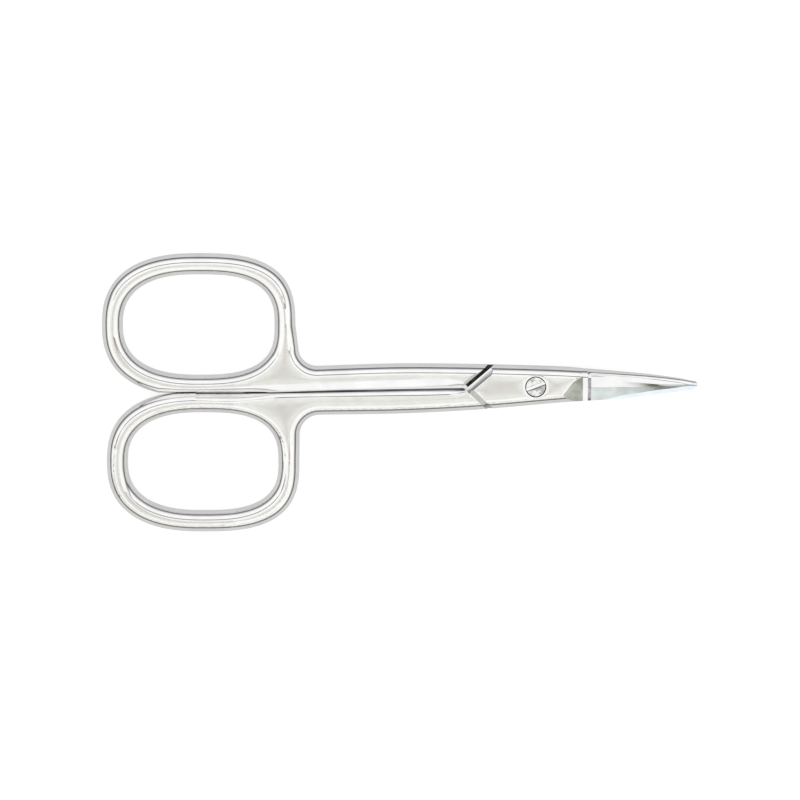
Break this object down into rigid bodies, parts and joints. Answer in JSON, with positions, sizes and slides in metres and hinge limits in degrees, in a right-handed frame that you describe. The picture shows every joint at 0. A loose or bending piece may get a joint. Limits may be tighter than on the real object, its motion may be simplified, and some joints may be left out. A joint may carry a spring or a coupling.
{
  "type": "curved scissors",
  "caption": "Small right-handed grooming scissors with finger rings, lapped shanks and upward-curved blades that open on a slotted pivot screw.",
  "frame": {"origin": "on the pivot axis, in the plane that the scissors lie on, at the flush end of the pivot screw", "axes": "+X from the pivot to the blade tips, +Z along the pivot axis towards the screw's slotted head, +Y towards the finger ring of the rear half"},
  "size_m": [0.09, 0.0424, 0.0063],
  "materials": {
    "plated_steel": "bright plated steel, polished rounded edges and rings with satin ground flats",
    "screw_steel": "bright turned steel, lightly polished"
  },
  "bodies": {
    "rear": {"rear_half": "plated_steel", "pivot_screw": "screw_steel"},
    "front": {"front_half": "plated_steel"}
  },
  "joints": [
    {"name": "pivot", "type": "hinge", "parent": "rear", "child": "front", "pos_m": [0, 0, 0.00145], "axis": [0, 0, 1], "range_deg": [0, 55]}
  ]
}
